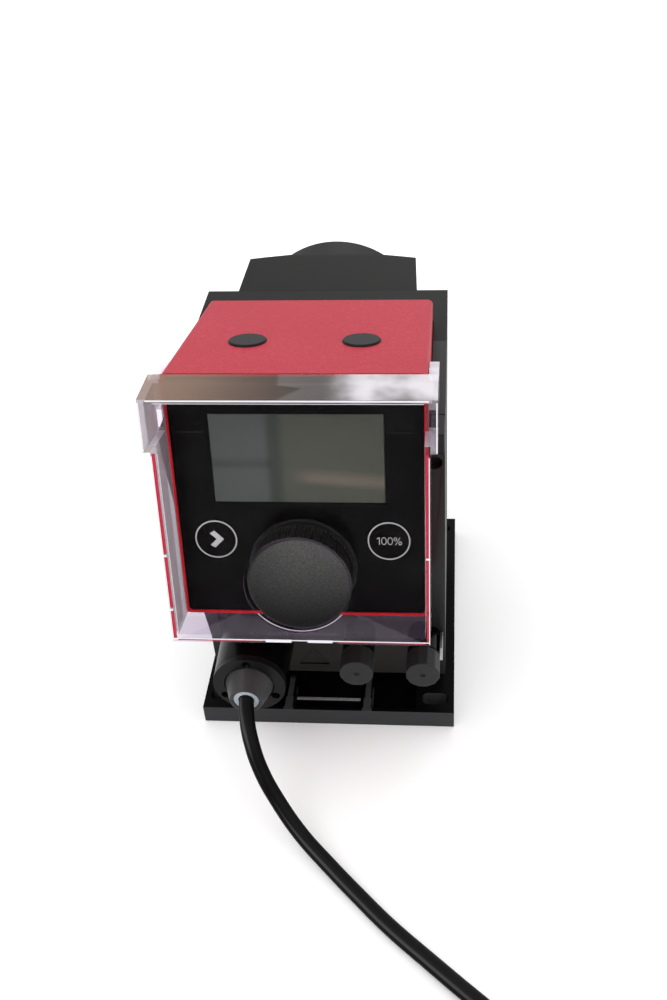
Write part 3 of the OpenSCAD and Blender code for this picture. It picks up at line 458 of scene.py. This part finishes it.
def rounded_edges(obj, radius_mm, segments=2, angle=28):
    """Rounds every edge that turns by more than the angle, in degrees."""
    bevel = obj.modifiers.new("edges", "BEVEL")
    bevel.width, bevel.segments = radius_mm * MM, segments
    bevel.limit_method, bevel.angle_limit = "ANGLE", math.radians(angle)
    bevel.harden_normals = True
    bevel.use_clamp_overlap = True
    return obj


def flat_faced(mesh, angle=28):
    """Smooth shading that stays flat across sharp edges."""
    mesh.shade_smooth()
    mesh.set_sharp_from_angle(angle=math.radians(angle))
    return mesh


def cleaned(node):
    """The CAD node's shape with its flat faces whole again."""
    made = bmesh.new()
    made.from_mesh(frame["nodes"][node].data)
    bmesh.ops.remove_doubles(made, verts=made.verts, dist=1e-6)
    bmesh.ops.dissolve_limit(made, angle_limit=math.radians(1), verts=made.verts, edges=made.edges)
    mesh = bpy.data.meshes.new(node + "_shape")
    made.to_mesh(mesh)
    made.free()
    return mesh


BODY = {n: b for b, nodes in frame["record"]["behaviour"]["bodies"].items() for n in nodes}
SLOT = {s["node"]: s["material_slot"] for s in frame["record"]["subparts"]}


def softened(node, radius_mm, finish=None, segments=2, angle=28):
    """A CAD node's shape with rounded edges, standing for the node."""
    mesh = flat_faced(cleaned(node), angle)
    obj = piece(node + "_moulding", mesh, finish or SLOT[node], BODY[node], [node], smooth=False)
    return rounded_edges(obj, radius_mm, segments, angle)


def finish_node(node, finish=None):
    """Keeps a CAD node as it is, with its finish."""
    mesh = frame["nodes"][node].data
    mesh.materials.clear()
    mesh.materials.append(FINISH[finish or SLOT[node]])


def turned(name, profile, place, turn, finish, body, replaces=(), count=96, ridge=None):
    """A turned piece: profile holds (radius, height) in millimetres, and turn gives its axes.

    ridge(angle, radius, height) may change a radius."""
    made = bmesh.new()
    rings = []
    for radius, height in profile:
        if radius <= 0:
            rings.append([made.verts.new((0, 0, height * MM))])
            continue
        ring = []
        for i in range(count):
            a = 2 * math.pi * i / count
            r = (ridge(a, radius, height) if ridge else radius) * MM
            ring.append(made.verts.new((r * math.cos(a), r * math.sin(a), height * MM)))
        rings.append(ring)
    for low, high in zip(rings, rings[1:]):
        for i in range(count):
            a, b = low[i % len(low)], low[(i + 1) % len(low)]
            c, d = high[(i + 1) % len(high)], high[i % len(high)]
            corners = [v for k, v in enumerate((a, b, c, d)) if v not in (a, b, c, d)[:k]]
            if len(corners) > 2:
                made.faces.new(corners)
    for ring in (rings[0], rings[-1]):
        if len(ring) > 1:
            made.faces.new(ring)
    bmesh.ops.recalc_face_normals(made, faces=made.faces)
    matrix = turn.to_4x4()
    matrix.translation = place
    made.transform(matrix)
    mesh = bpy.data.meshes.new(name)
    made.to_mesh(mesh)
    made.free()
    return piece(name, flat_faced(mesh, 35), finish, body, replaces, smooth=False)


FACING_OUT = Matrix((Vector((1, 0, 0)), Panel.up, -Panel.into)).transposed()
TO_FRONT = Matrix((Vector((1, 0, 0)), Vector((0, 0, 1)), Vector((0, -1, 0)))).transposed()


def cut_sheet(name, outlines, thick_mm, matrix, finish, body):
    """A flat piece cut from outlines (the first is the outside, the rest are holes), in millimetres."""
    curve = bpy.data.curves.new(name, "CURVE")
    curve.dimensions, curve.fill_mode = "2D", "BOTH"
    curve.extrude = thick_mm / 2 * MM
    for outline in outlines:
        spline = curve.splines.new("POLY")
        spline.points.add(len(outline) - 1)
        for point, (x, y) in zip(spline.points, outline):
            point.co = (x * MM, y * MM, 0, 1)
        spline.use_cyclic_u = True
    holder = bpy.data.objects.new(name + "_curve", curve)
    scene.collection.objects.link(holder)
    mesh = bpy.data.meshes.new_from_object(holder.evaluated_get(bpy.context.evaluated_depsgraph_get()))
    bpy.data.objects.remove(holder)
    mesh.materials.clear()
    mesh.transform(matrix)
    mesh.name = name
    return piece(name, flat_faced(mesh), finish, body, (), smooth=False)


def circle(radius, count=72):
    angles = (2 * math.pi * i / count for i in range(count))
    return [(radius * math.cos(a), radius * math.sin(a)) for a in angles]


def arc(radius, degrees):
    return [(radius * math.cos(math.radians(a)), radius * math.sin(math.radians(a))) for a in degrees]


def box(x0, y0, x1, y1):
    """An outline between two corners."""
    return [(x0, y0), (x1, y0), (x1, y1), (x0, y1)]


def panel_matrix(x, out, down):
    """Flat outlines drawn in x and y stand on the panel: y is up along it."""
    matrix = FACING_OUT.to_4x4()
    matrix.translation = on_panel(x, out, down)
    return matrix


# ---------------------------------------------------------------- mains lead
LEAD_D, LEAD_LENGTH = 0.0068, 1.5
LEAD = [
    (-0.0317, -0.0946, 0.0437), (-0.0303, -0.1036, 0.0417), (-0.0275, -0.1127, 0.0369),
    (-0.0227, -0.1212, 0.0279), (-0.015, -0.1294, 0.0175), (-0.0052, -0.139, 0.0096), (0.008, -0.151, 0.005),
    (0.021, -0.1634, 0.0035), (0.0351, -0.177, 0.0035), (0.0509, -0.1903, 0.0035), (0.0683, -0.2046, 0.0035),
    (0.086, -0.2185, 0.0035), (0.0955, -0.2263, 0.0035), (0.1046, -0.234, 0.0035),
]
TAIL = [
    (0.075, -0.3154, 0.0103), (0.0625, -0.3155, 0.0094), (0.05, -0.3149, 0.0108), (0.0385, -0.3136, 0.0139),
]
COIL_CENTRE = Vector((0.075, -0.2693, 0.0035))
COIL_OUTER, COIL_PITCH, COIL_LAYER = 0.0461, 0.00685, 0.00682
COIL_START, COIL_SWEEP, COIL_STEPS, CLIMB_STEPS = math.radians(50), math.radians(1940), 88, 6


def lead_route():
    """From the gland over the floor, wound inwards and, one layer up, outwards, then out to the plug."""
    points = [Vector(p) for p in LEAD]
    for i in range(1, COIL_STEPS):
        wound = COIL_SWEEP * i / COIL_STEPS
        inward = min(wound, COIL_SWEEP - wound) / (2 * math.pi)
        angle, radius = COIL_START - wound, COIL_OUTER - COIL_PITCH * inward
        climbed = min(1, max(0, (i - COIL_STEPS / 2) / CLIMB_STEPS + 0.5))
        height = COIL_LAYER * (0.5 - 0.5 * math.cos(math.pi * climbed))
        points.append(COIL_CENTRE + Vector((radius * math.cos(angle), radius * math.sin(angle), height)))
    return points + [Vector(p) for p in TAIL]


def mains_cord():
    """The whole lead as one smooth curve of round section."""
    curve = bpy.data.curves.new("mains_cord", "CURVE")
    curve.dimensions, curve.resolution_u = "3D", 6
    curve.bevel_depth, curve.bevel_resolution, curve.use_fill_caps = LEAD_D / 2, 5, True
    route = lead_route()
    spline = curve.splines.new("BEZIER")
    spline.bezier_points.add(len(route) - 1)
    for point, place in zip(spline.bezier_points, route):
        point.co = place
        point.handle_left_type = point.handle_right_type = "AUTO"
    cord = bpy.data.objects.new("mains_cord", curve)
    scene.collection.objects.link(cord)
    curve.materials.append(FINISH["cord"])
    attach(cord, "pump")
    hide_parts("mains_lead", "mains_coil", "mains_tail")
    return cord


def plug():
    """Moulded plug with a ribbed sleeve, a grip waist and two round pins."""
    back = Vector(TAIL[-1])
    heading, pin_spacing = math.radians(6), 19
    toward = Vector((-math.cos(heading), -math.sin(heading), 0))
    turn = toward.to_track_quat("Z", "Y").to_matrix()

    def surface(a, r, h):
        if 16 < h < 36:
            return r * (1 - 0.05 * abs(math.sin(3 * a)) ** 6)
        in_groove = 1 < h < 13 and int(h / 1.5) % 2
        return r - 0.7 if in_groove else r

    profile = [(3.6, 0.2), (4.8, 0.4)]
    profile += [(5 + 3 * h / 14, h) for h in [0.8 + 0.75 * k for k in range(17)]]
    profile += [(9.4, 14.2), (10.6, 15.5), (13.0, 23), (13.8, 27), (13.85, 36.6), (13.2, 37.8), (0, 37.8)]
    pieces = [turned("plug_body", profile, back, turn, "plug", "pump", ["mains_plug"], 72, surface)]
    pin = [(2.38, 37.4), (2.38, 54.5), (1.9, 56.2), (0.9, 56.9), (0, 56.95)]
    for name, side in (("plug_pin_a", -1), ("plug_pin_b", 1)):
        foot = back + turn.col[0] * side * pin_spacing / 2 * MM
        pieces.append(turned(name, pin, foot, turn, "steel", "pump", count=32))
    return pieces


cord = mains_cord()
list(plug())
softened("coil_tie", 0.3)


# ---------------------------------------------------------------- mounting plate and housing
def base():
    softened("mounting_plate", 0.5)
    softened("latch_bar", 0.3, "latch")
    softened("base_cover", 0.4)


def housing():
    for node, radius in (
        ("front_housing", 0.4), ("rear_housing", 0.7), ("cheek_left", 0.6), ("cheek_right", 0.6),
        ("cube_clips", 0.5), ("housing_screws", 0.3), ("drive_cover", 0.8),
    ):
        softened(node, radius)


def front_mark():
    """Moulded triangle on the housing's front face, within a faint square, drawn as thin lighter outlines: a
    painted highlight on its raised edges.
    """
    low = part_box("front_housing")[0]
    at = TO_FRONT.to_4x4()
    at.translation = Vector((-0.0072, low.y - 0.00004, low.z + 0.0052))
    triangle = [[(-7.9, -0.3), (7.9, -0.3), (0, 12.2)], [(-7.2, 0.15), (7.2, 0.15), (0, 11.4)]]
    square = [box(-10, -2, 10, 15), box(-9.8, -1.8, 9.8, 14.8)]
    # painted highlight: the raised edges drawn in a lighter housing colour
    cut_sheet("triangle_edge", triangle, 0.08, at, "housing_light", "pump")
    cut_sheet("square_edge", square, 0.06, at, "housing_light", "pump")


# ---------------------------------------------------------------- drive and pump head
def drive():
    for node, radius in (("motor", 0.5), ("gear_plate", 0.3), ("power_board", 0.2), ("shaft_bearings", 0.25)):
        softened(node, radius)
    for node in ("motor_pinion", "drive_gear", "drive_shaft"):
        finish_node(node)


def head():
    softened("head_casing", 0.5)
    softened("head_cover", 0.6)
    softened("cover_thumbscrew", 0.3)
    for node in ("head_hinge_pin", "roller_pins"):
        finish_node(node)
    softened("rotor", 0.3)
    for n in (1, 2, 3):
        softened(f"roller_{n}", 0.5)
    softened("pump_tube", 0.5)
    softened("hose_connectors", 0.2)


# ---------------------------------------------------------------- control cube
KEY_X, KEY_DOWN = 34.2, 69.6
KNOB_DOWN, KNOB_R, KNOB_FACE = 81.5, 20.4, 13.7
KNOB_RIBS, RIB_DEEP = 96, 0.45
PRINT_OUT = -0.16  # the panel's face, where the print lies


def cube():
    for node, radius in (
        ("cube_shell", 0.35), ("cube_back", 0.3), ("top_plugs", 0.3), ("front_panel", 0.12),
        ("display_module", 0.15), ("knob_seat", 0.3), ("key_left", 0.15), ("key_right", 0.15),
        ("encoder", 0.15), ("main_board", 0.15),
    ):
        softened(node, radius)
    for node in ("encoder_shaft", "cube_screws", "cover_pins"):
        finish_node(node)


def key_prints():
    """Printed rings, an arrow sign and a percentage on the keys."""
    for side, x in (("left", -KEY_X), ("right", KEY_X)):
        at = panel_matrix(x, PRINT_OUT, KEY_DOWN)
        cut_sheet(f"key_ring_{side}", [circle(8.35), circle(7.85)], 0.08, at, "print", f"key_{side}")
    arrow = [(-2.4, 2.6), (-0.5, 3.8), (3.1, 0.1), (-0.6, -3.7), (-2.4, -2.6), (0.2, 0.1)]
    at = panel_matrix(-KEY_X, PRINT_OUT, KEY_DOWN)
    cut_sheet("key_arrow", [arrow], 0.08, at, "print", "key_left")
    at = panel_matrix(KEY_X, PRINT_OUT, KEY_DOWN)
    one = [(-4.7, 0.85), (-4.85, 1.05), (-3.9, 1.65), (-3.62, 1.65)]
    one += [(-3.62, -1.65), (-3.92, -1.65), (-3.92, 1.25)]
    marks = {"one": [one], "slash": [[(2.38, -1.7), (2.64, -1.7), (4.44, 1.7), (4.18, 1.7)]]}
    stroke = 0.27

    def oval(x, y, wide, high):
        return [(x + wide * u, y + high * v) for u, v in circle(1, 28)]

    for name, x, y, wide, high in (
        ("nought_a", -2.0, 0, 1.05, 1.7), ("nought_b", 0.45, 0, 1.05, 1.7),
        ("ring_a", 2.5, 0.9, 0.68, 0.8), ("ring_b", 4.35, -0.9, 0.68, 0.8),
    ):
        marks[name] = [oval(x, y, wide, high), oval(x, y, wide - stroke, high - stroke)]
    for name, outlines in marks.items():
        cut_sheet("key_percent_" + name, outlines, 0.08, at, "print", "key_right")


def knob():
    """Turned knob: fine ribs round its side, a lip and a grained face."""
    r, face = KNOB_R, KNOB_FACE

    def ribs(a, radius, height):
        ribbed = 3.2 < height < face - 0.9 and radius > r - 0.5
        return radius - RIB_DEEP * (0.5 - 0.5 * math.cos(KNOB_RIBS * a)) if ribbed else radius

    side = [(3.3, 2.7), (7.9, 2.7), (7.9, 7.6), (r - 3, 7.6), (r - 3, 2.5), (r - 0.2, 2.5), (r, 2.8)]
    side += [(r, 3.1), (r, 3.3), (r, 12.6), (r, 12.9), (r - 0.1, 13.3), (r - 0.5, 13.55)]
    side += [(r - 0.9, 13.6), (r - 1.2, 13.6)]
    cap = [(r - 0.95, 13.45), (r - 0.95, 13.62), (r - 1.3, 13.69)]
    cap += [(r * 0.6, face), (r * 0.3, face), (0, face)]
    foot = on_panel(0, 0, KNOB_DOWN)
    turned("knob_side", side, foot, FACING_OUT, "knob", "knob", ["knob"], 8 * KNOB_RIBS, ribs)
    turned("knob_face", cap, foot, FACING_OUT, "knob_face", "knob", count=128)


def panel_rim():
    """Bright red line where the shell's front edge meets the panel, and two faint scribed lines."""
    half, deep = Panel.half / MM, Panel.height / MM
    outlines = [box(-half + inset, -inset, half - inset, -deep + inset) for inset in (0.25, 1.25)]
    cut_sheet("panel_rim", outlines, 0.12, panel_matrix(0, 0.05, 0), "rim", "pump")
    at = panel_matrix(0, PRINT_OUT, 23.6)
    for name, a, b in (("left", -46.5, -35.5), ("right", 34, 45)):
        cut_sheet(f"panel_line_{name}", [box(a, 0.06, b, -0.06)], 0.05, at, "scribe", "pump")


# ---------------------------------------------------------------- clear cover
COVER_FRONT, COVER_INSIDE, COVER_MIDDLE = 19.22, 17.1, 18.2  # distances out from the panel
COVER_HALF, EAR_DOWN, COVER_DOWN = 50.7, 24.5, 104.2
HOLE_DOWN = KNOB_DOWN - 2
COVER_LOOKS = ["clear", "clear_side", "clear_edge", "clear_top", "clear_low"]


def cover_look(face):
    """Which lit or shaded copy of the clear finish a face of the cover has: painted light makes its narrow faces
    brighter than its wide ones.
    """
    out, up, aside = (abs(face.normal.dot(axis)) for axis in (Panel.into, Panel.up, Panel.right))
    if out > 0.9:
        return "clear" if face.area > 900e-6 else "clear_edge"
    if face.area < 70e-6:
        by_hole = abs(face.center.x) < 0.0225 and abs(face.center.z - 0.129) < 0.023
        return "clear_low" if by_hole else "clear_edge"
    if aside > 0.7:
        return "clear_side"
    if up > 0.7:
        return "clear_top" if Panel.origin.z - face.center.z < 0.03 else "clear_low"
    return "clear"


def cover_line(name, outline, out, thick_mm=0.1, finish="glint"):
    cut_sheet(name, [outline], thick_mm, panel_matrix(0, out, 0), finish, "cover")


def clear_cover():
    """The cover's own shape, with painted light and shade: a lit or shaded copy of the clear finish to each kind
    of face.
    """
    mesh = flat_faced(cleaned("clear_cover"))
    cover = piece("clear_cover_moulding", mesh, COVER_LOOKS, "cover", ["clear_cover"], smooth=False)
    for face in mesh.polygons:
        face.material_index = COVER_LOOKS.index(cover_look(face))
    rounded_edges(cover, 0.45, 3)
    cover.modifiers["edges"].material = COVER_LOOKS.index("clear_edge")


def cover_glints():
    """Lines of light: x from and to, down from and to, and how far out."""
    for name, x0, x1, d0, d1, out in (
        ("front_top", -50.4, 50.4, 3.1, 3.75, COVER_FRONT),
        ("front_top_inner", -48.6, 48.6, 5.1, 5.4, COVER_INSIDE),
        ("left", -50.6, -50.25, 25, 104.6, COVER_FRONT), ("right", 50.25, 50.6, 25, 104.6, COVER_FRONT),
        ("left_inner", -48.9, -48.6, 25, 103, COVER_INSIDE),
        ("ear_left", -53.4, -52.9, 4, 23.2, COVER_FRONT),
        ("ear_right", 52.9, 53.4, 4, 23.2, COVER_FRONT), ("tick_left", -50.7, -49.2, 66.1, 66.9, 19.24),
        ("tick_right", 49.2, 50.7, 66.1, 66.9, 19.24), ("tick_left_low", -50.7, -49.2, 90.1, 90.9, 19.24),
        ("bottom", -50.3, 50.3, 103.5, 103.95, COVER_FRONT), ("notch_left", -13.8, -3.6, 103.4, 104.7, 19.2),
        ("notch_right", 2.8, 12.6, 103.4, 104.6, 19.2),
    ):
        cover_line("glint_" + name, box(x0, -d0, x1, -d1), out)
    crescent = arc(20.95, range(219, 323, 3)) + arc(21.25, range(321, 218, -3))
    cover_line("glint_hole", [(x, y - HOLE_DOWN) for x, y in crescent], COVER_INSIDE)


def cover_red_reflections():
    """Painted reflection: thin red strips for the cube's red, caught in the edges of the cover's sides and bottom.
    """
    outer, inner = COVER_HALF - 0.3, COVER_HALF - 1.35
    # painted reflection: red strips standing for the red cube seen in the cover's edges
    for name, side in (("left", -1), ("right", 1)):
        for k, (a, b) in enumerate(((EAR_DOWN, 66), (67, 90), (91, COVER_DOWN))):
            strip = box(side * inner, -a, side * outer, -b)
            cover_line(f"edge_tint_{name}_{k}", strip, COVER_MIDDLE, 0.8, "painted_red_reflection")
    for k, (a, b) in enumerate(((-COVER_HALF + 2, -15), (15, COVER_HALF - 2))):
        cover_line(f"edge_tint_low_{k}", box(a, -104.5, b, -104.9), COVER_MIDDLE, 0.8, "painted_red_reflection")


# ---------------------------------------------------------------- gland, sockets and caps
def gland():
    softened("gland_boss", 0.3)
    softened("gland_ring", 0.4, "gland_ring", segments=3)
    softened("gland_cone", 0.5, segments=3)
    softened("gland_seal", 0.3)
    # painted shade: the steel screws take the gland's black so their holes read dark
    finish_node("gland_screws", "gland")


def sockets():
    softened("signal_sockets", 0.4)
    for side in ("left", "right"):
        softened("cap_" + side, 0.35, segments=2, angle=20)
        softened("cap_seal_" + side, 0.2)
    softened("cap_strap", 0.15)


# ---------------------------------------------------------------- studio
def studio():
    """A pale floor, white surroundings and three soft lamps."""
    ground = bmesh.new()
    bmesh.ops.create_grid(ground, x_segments=1, y_segments=1, size=6)
    mesh = bpy.data.meshes.new("floor")
    ground.to_mesh(mesh)
    ground.free()
    floor = bpy.data.objects.new("floor", mesh)
    floor.location.z = -0.0002
    scene.collection.objects.link(floor)
    glow = {"Emission_Color": (1, 1, 1, 1), "Emission_Strength": 0.07}
    pale = Finish("floor", (0.97, 0.97, 0.97), 0.8, Specular_IOR_Level=0.1, **glow)
    mesh.materials.append(pale.material)
    world = bpy.data.worlds.new("studio")
    scene.world = world
    world.use_nodes = True
    world.node_tree.nodes["Background"].inputs["Color"].default_value = (1, 1, 1, 1)
    world.node_tree.nodes["Background"].inputs["Strength"].default_value = 1.0
    for name, place, size, power, color in (
        ("key", (-0.7, -0.5, 1.7), 1.3, 9, (1, 1, 1)),
        ("fill", (1.1, -0.9, 1.3), 1.2, 5, (1, 0.99, 0.97)),
        ("back", (0.2, 1.4, 1.3), 1.1, 5, (1, 1, 1)),
    ):
        light = bpy.data.lights.new(name, "AREA")
        light.size, light.energy, light.color = size, power, color
        lamp = bpy.data.objects.new(name, light)
        lamp.location = place
        lamp.rotation_euler = (Vector((0, 0, 0.1)) - Vector(place)).to_track_quat("-Z", "Y").to_euler()
        scene.collection.objects.link(lamp)


base()
housing()
front_mark()
drive()
head()
cube()
key_prints()
knob()
panel_rim()
clear_cover()
cover_glints()
cover_red_reflections()
gland()
sockets()
studio()

bpy.context.view_layer.update()
